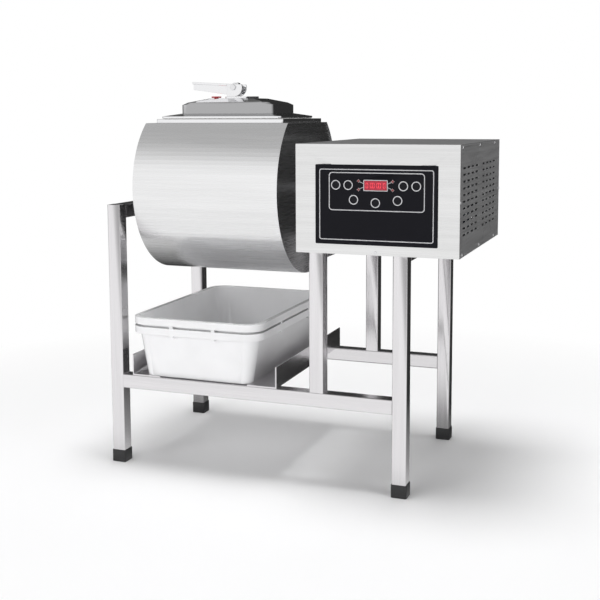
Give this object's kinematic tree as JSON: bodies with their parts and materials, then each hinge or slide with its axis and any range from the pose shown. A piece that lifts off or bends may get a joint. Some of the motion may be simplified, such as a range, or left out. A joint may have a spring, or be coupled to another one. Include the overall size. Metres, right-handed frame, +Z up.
{
  "type": "meat vacuum tumbler",
  "caption": "Tumbling drum with flat top and lever-sealed lid, geared drive in a louvred control housing, on an open square-tube frame with nested catch tubs.",
  "frame": {"origin": "on the floor below the middle of the machine", "axes": "+X from the drum to the control housing, +Y from the front to the back, +Z up"},
  "size_m": [0.983, 0.58, 1.0651],
  "materials": {
    "satin_steel": "satin ground",
    "black_rubber": "matte",
    "cast_metal": "painted casting",
    "bearing_steel": "machined",
    "brushed_drum": "brushed along the drum",
    "polished_steel": "polished",
    "white_seal": "satin",
    "black_plastic": "satin",
    "red_plastic": "gloss",
    "white_plastic": "satin gloss",
    "housing_steel": "brushed",
    "overlay_black": "satin film",
    "display_red": "gloss",
    "key_plastic": "satin",
    "board_green": "gloss",
    "motor_paint": "gloss paint",
    "brass_union": "machined"
  },
  "bodies": {
    "frame": {"leg_front_left": "satin_steel", "leg_rear_left": "satin_steel", "leg_front_right": "satin_steel", "leg_rear_right": "satin_steel", "mid_posts": "satin_steel", "rail_front_low": "satin_steel", "rail_rear_low": "satin_steel", "rail_left_top": "satin_steel", "rail_mid_top": "satin_steel", "rail_right_top": "satin_steel", "runner_left": "satin_steel", "runner_right": "satin_steel", "foot_caps": "black_rubber", "bearing_housings": "cast_metal", "bearing_inserts": "bearing_steel", "bearing_bolts": "bearing_steel", "bearing_pedestal": "satin_steel", "housing_floor": "housing_steel", "housing_front": "housing_steel", "housing_rear": "housing_steel", "housing_left": "housing_steel", "housing_right": "housing_steel", "housing_top": "housing_steel", "panel_screws": "bearing_steel", "control_overlay": "overlay_black", "display_window": "display_red", "indicator_lamps": "red_plastic", "control_board": "board_green", "gear_motor": "motor_paint", "vacuum_pump": "motor_paint", "vacuum_pipe": "brass_union", "rotary_union": "brass_union", "cable_gland": "black_rubber"},
    "drum": {"drum_shell": "brushed_drum", "drum_end_left": "brushed_drum", "drum_end_right": "brushed_drum", "mouth_frame": "polished_steel", "drum_paddles": "brushed_drum", "stub_shaft": "bearing_steel", "drive_shaft": "bearing_steel", "drum_gear": "bearing_steel"},
    "pinion": {"pinion_shaft": "bearing_steel"},
    "lid": {"lid_pan": "polished_steel", "lid_gasket": "white_seal", "lever_base": "polished_steel"},
    "lever": {"lever_handle": "polished_steel", "lever_bolt": "bearing_steel"},
    "stem": {"vent_stem": "polished_steel"},
    "tap": {"vacuum_tap": "black_plastic"},
    "valve": {"release_valve": "red_plastic"},
    "lower_tub": {"lower_tub": "white_plastic"},
    "upper_tub": {"upper_tub": "white_plastic"},
    "key_1": {"key_1": "key_plastic"},
    "key_2": {"key_2": "key_plastic"},
    "key_3": {"key_3": "key_plastic"},
    "key_4": {"key_4": "key_plastic"},
    "key_5": {"key_5": "key_plastic"},
    "key_6": {"key_6": "key_plastic"},
    "key_7": {"key_7": "key_plastic"}
  },
  "joints": [
    {"name": "drum_spin", "type": "hinge", "parent": "frame", "child": "drum", "pos_m": [-0.212, 0, 0.766], "axis": [1, 0, 0], "continuous": true},
    {"name": "pinion_spin", "type": "hinge", "parent": "frame", "child": "pinion", "pos_m": [0.1655, -0.1, 0.766], "axis": [1, 0, 0], "continuous": true},
    {"name": "lid_lift", "type": "slide", "parent": "drum", "child": "lid", "axis": [0, 0, 1], "range_m": [0, 0.15]},
    {"name": "lever_hinge", "type": "hinge", "parent": "lid", "child": "lever", "pos_m": [-0.2205, 0, 1.0486], "axis": [0, 1, 0], "range_deg": [0, 90]},
    {"name": "stem_drop", "type": "slide", "parent": "lid", "child": "stem", "axis": [0, 0, -1], "range_m": [0, 0.00425]},
    {"name": "tap_turn", "type": "hinge", "parent": "lid", "child": "tap", "pos_m": [-0.154, -0.024, 1.0163], "axis": [0, 0, 1], "range_deg": [0, 90]},
    {"name": "valve_press", "type": "slide", "parent": "lid", "child": "valve", "axis": [0, 0, -1], "range_m": [0, 0.002], "stiffness_N_per_m": 1500, "springref_m": -0.001},
    {"name": "lower_tub_slide", "type": "slide", "parent": "frame", "child": "lower_tub", "axis": [0, -1, 0], "range_m": [0, 0.42]},
    {"name": "upper_tub_lift", "type": "slide", "parent": "lower_tub", "child": "upper_tub", "axis": [0, 0, 1], "range_m": [0, 0.095]},
    {"name": "key_1_press", "type": "slide", "parent": "frame", "child": "key_1", "axis": [0, 1, 0], "range_m": [0, 0.0006], "stiffness_N_per_m": 2500, "springref_m": -0.0004},
    {"name": "key_2_press", "type": "slide", "parent": "frame", "child": "key_2", "axis": [0, 1, 0], "range_m": [0, 0.0006], "stiffness_N_per_m": 2500, "springref_m": -0.0004},
    {"name": "key_3_press", "type": "slide", "parent": "frame", "child": "key_3", "axis": [0, 1, 0], "range_m": [0, 0.0006], "stiffness_N_per_m": 2500, "springref_m": -0.0004},
    {"name": "key_4_press", "type": "slide", "parent": "frame", "child": "key_4", "axis": [0, 1, 0], "range_m": [0, 0.0006], "stiffness_N_per_m": 2500, "springref_m": -0.0004},
    {"name": "key_5_press", "type": "slide", "parent": "frame", "child": "key_5", "axis": [0, 1, 0], "range_m": [0, 0.0006], "stiffness_N_per_m": 2500, "springref_m": -0.0004},
    {"name": "key_6_press", "type": "slide", "parent": "frame", "child": "key_6", "axis": [0, 1, 0], "range_m": [0, 0.0006], "stiffness_N_per_m": 2500, "springref_m": -0.0004},
    {"name": "key_7_press", "type": "slide", "parent": "frame", "child": "key_7", "axis": [0, 1, 0], "range_m": [0, 0.0006], "stiffness_N_per_m": 2500, "springref_m": -0.0004}
  ],
  "couplings": [
    {"joint": "pinion_spin", "follows": "drum_spin", "ratio": -3},
    {"joint": "stem_drop", "follows": "lever_hinge", "m_per_rad": 0.0027}
  ]
}
